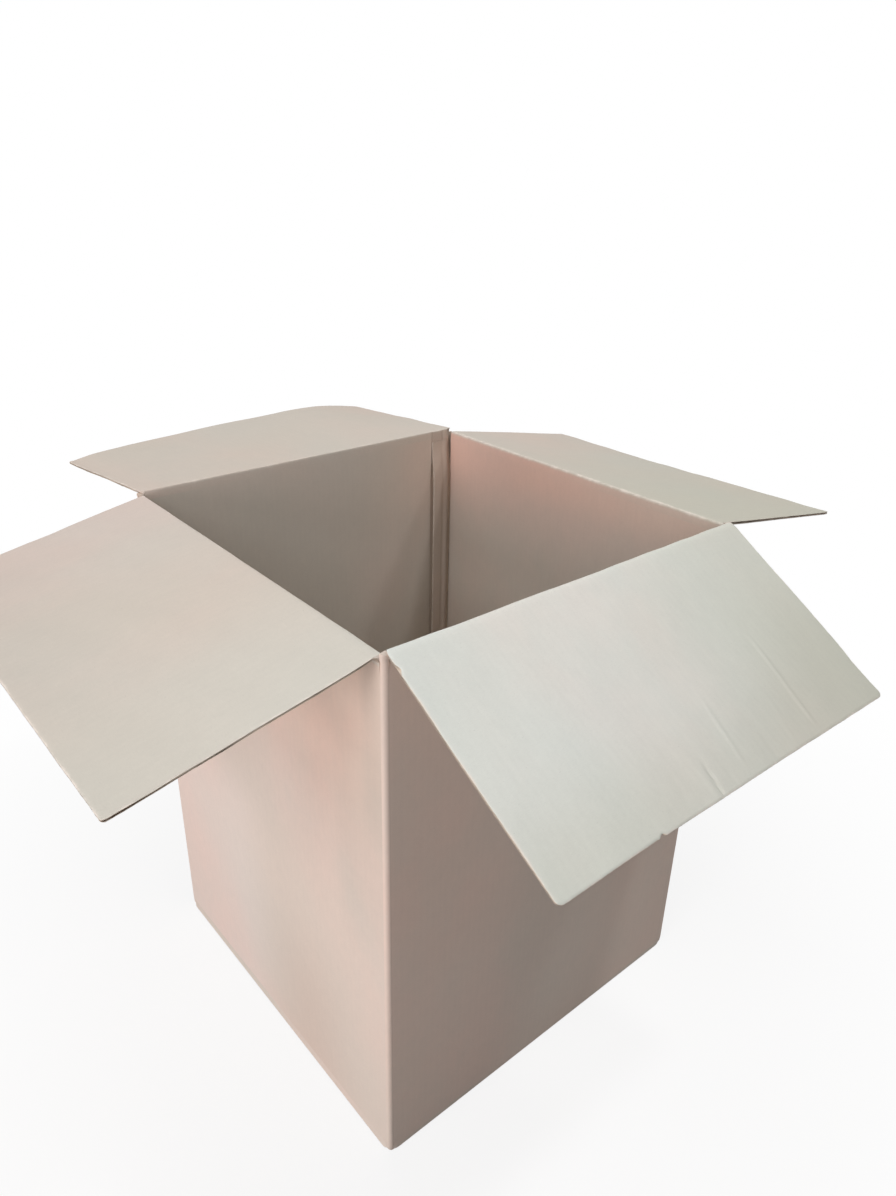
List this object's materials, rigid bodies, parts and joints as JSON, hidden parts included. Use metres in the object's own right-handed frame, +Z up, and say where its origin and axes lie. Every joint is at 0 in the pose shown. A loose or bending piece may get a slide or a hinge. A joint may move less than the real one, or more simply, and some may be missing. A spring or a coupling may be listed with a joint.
{
  "type": "open corrugated cardboard carton",
  "caption": "Square-based slotted shipping carton of single-wall corrugated board, taped underneath, its top flaps hinged at their folds and standing open.",
  "frame": {"origin": "centre of the base, on the floor", "axes": "+Z up; the front and back walls with the outer flaps face -Y and +Y, the left and right walls with the inner flaps face -X and +X"},
  "size_m": [0.9204, 0.8948, 0.6209],
  "materials": {
    "kraft_board": "matte uncoated kraft liner",
    "packing_tape": "tan film tape, satin"
  },
  "bodies": {
    "carton": {"carton_body": "kraft_board", "bottom_tape": "packing_tape"},
    "front_flap": {"top_flap_front": "kraft_board"},
    "back_flap": {"top_flap_back": "kraft_board"},
    "left_flap": {"top_flap_left": "kraft_board"},
    "right_flap": {"top_flap_right": "kraft_board"}
  },
  "joints": [
    {"name": "left_flap_fold", "type": "hinge", "parent": "carton", "child": "left_flap", "pos_m": [-0.2325, 0, 0.6107], "axis": [0, 1, 0], "range_deg": [-75.5, 192.5]},
    {"name": "right_flap_fold", "type": "hinge", "parent": "carton", "child": "right_flap", "pos_m": [0.2325, 0, 0.6107], "axis": [0, -1, 0], "range_deg": [-77.5, 190.6]},
    {"name": "front_flap_fold", "type": "hinge", "parent": "carton", "child": "front_flap", "pos_m": [0, -0.234, 0.616], "axis": [-1, 0, 0], "range_deg": [-56, 208.6]},
    {"name": "back_flap_fold", "type": "hinge", "parent": "carton", "child": "back_flap", "pos_m": [0, 0.234, 0.616], "axis": [1, 0, 0], "range_deg": [-82, 180.7]}
  ]
}
